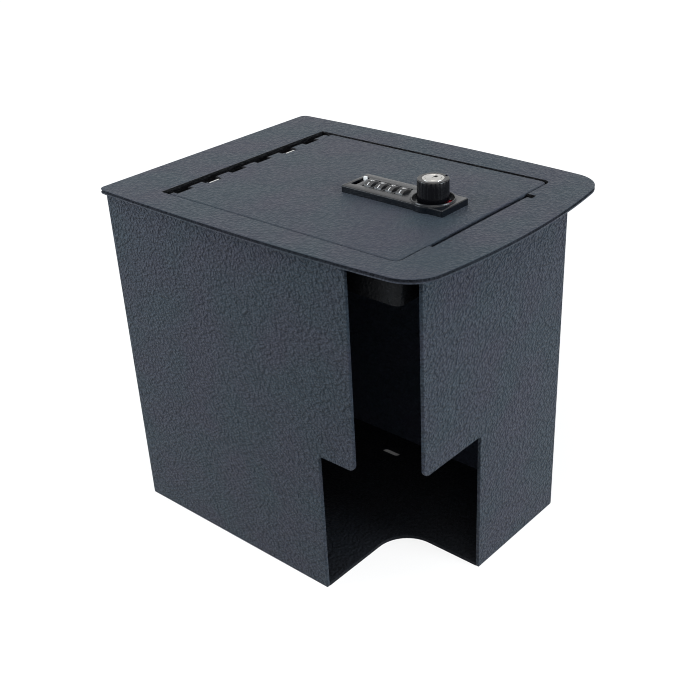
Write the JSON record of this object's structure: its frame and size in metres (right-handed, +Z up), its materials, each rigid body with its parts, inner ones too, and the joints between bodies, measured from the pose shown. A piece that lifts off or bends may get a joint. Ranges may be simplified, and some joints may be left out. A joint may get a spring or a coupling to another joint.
{
  "type": "vehicle console safe",
  "caption": "Folded steel tub with a cut-away front corner, a flat bowed top frame and a flush hinged lid with a code lock and a key knob.",
  "frame": {"origin": "on the ground under the middle of the top frame's bounding rectangle", "axes": "+Z up; +Y from the lid's opening side towards its hinge; +X to the right of someone who faces the hinge from the opening side"},
  "size_m": [0.2074, 0.2776, 0.2672],
  "materials": {
    "powder_coat": "textured powder coat, dark slate blue-grey, semi-matt",
    "inside_black": "matt black paint",
    "hinge_black": "black paint over steel",
    "lock_black": "satin black on a zinc casting",
    "wheel_black": "moulded black, white numbers",
    "slider_white": "moulded, pale",
    "flag_red": "flat red-orange",
    "nickel": "turned nickel",
    "bright_steel": "bare cut steel",
    "steel": "bright zinc plate",
    "zinc": "dull zinc plate"
  },
  "bodies": {
    "tub": {"wall_wrap": "powder_coat", "floor_plate": "inside_black", "top_frame": "powder_coat", "lid_collar": "inside_black", "latch_keeper": "inside_black", "hinge_frame_leaf": "hinge_black", "hinge_pin": "steel"},
    "lid": {"lid_plate": "powder_coat", "hinge_lid_leaf": "hinge_black", "hinge_clips": "bright_steel", "lock_case": "lock_black", "case_cover": "zinc", "lock_bracket": "zinc", "bracket_screws": "steel", "wheel_axle": "steel", "detent_spring": "steel"},
    "wheel_1": {"code_wheel_1": "wheel_black"},
    "wheel_2": {"code_wheel_2": "wheel_black"},
    "wheel_3": {"code_wheel_3": "wheel_black"},
    "wheel_4": {"code_wheel_4": "wheel_black"},
    "slider": {"code_slider": "slider_white"},
    "bar": {"locking_bar": "steel"},
    "knob": {"lock_knob": "lock_black", "spindle": "zinc", "indicator_flag": "flag_red", "latch_cam": "zinc", "cam_screw": "steel", "key_barrel": "nickel"},
    "key": {"key_plug": "nickel"}
  },
  "joints": [
    {"name": "lid_hinge", "type": "hinge", "parent": "tub", "child": "lid", "pos_m": [-0.002, 0.09045, 0.2436], "axis": [-1, 0, 0], "range_deg": [0, 95]},
    {"name": "knob_turn", "type": "hinge", "parent": "lid", "child": "knob", "pos_m": [0.0003, -0.06665, 0.2533], "axis": [0, 0, -1], "range_deg": [0, 90]},
    {"name": "key_turn", "type": "hinge", "parent": "knob", "child": "key", "pos_m": [0.0003, -0.06665, 0.2669], "axis": [0, 0, -1], "range_deg": [0, 90]},
    {"name": "bar_slide", "type": "slide", "parent": "lid", "child": "bar", "axis": [0, 1, 0], "range_m": [0, 0.0017]},
    {"name": "slider_slide", "type": "slide", "parent": "lid", "child": "slider", "axis": [-1, 0, 0], "range_m": [0, 0.01]},
    {"name": "wheel_1_turn", "type": "hinge", "parent": "lid", "child": "wheel_1", "pos_m": [0.0003, -0.01685, 0.2478], "axis": [0, 1, 0], "continuous": true},
    {"name": "wheel_2_turn", "type": "hinge", "parent": "lid", "child": "wheel_2", "pos_m": [0.0003, -0.0256, 0.2478], "axis": [0, 1, 0], "continuous": true},
    {"name": "wheel_3_turn", "type": "hinge", "parent": "lid", "child": "wheel_3", "pos_m": [0.0003, -0.03435, 0.2478], "axis": [0, 1, 0], "continuous": true},
    {"name": "wheel_4_turn", "type": "hinge", "parent": "lid", "child": "wheel_4", "pos_m": [0.0003, -0.0431, 0.2478], "axis": [0, 1, 0], "continuous": true}
  ],
  "couplings": [
    {"joint": "bar_slide", "follows": "knob_turn", "m_per_rad": 0.001082}
  ]
}
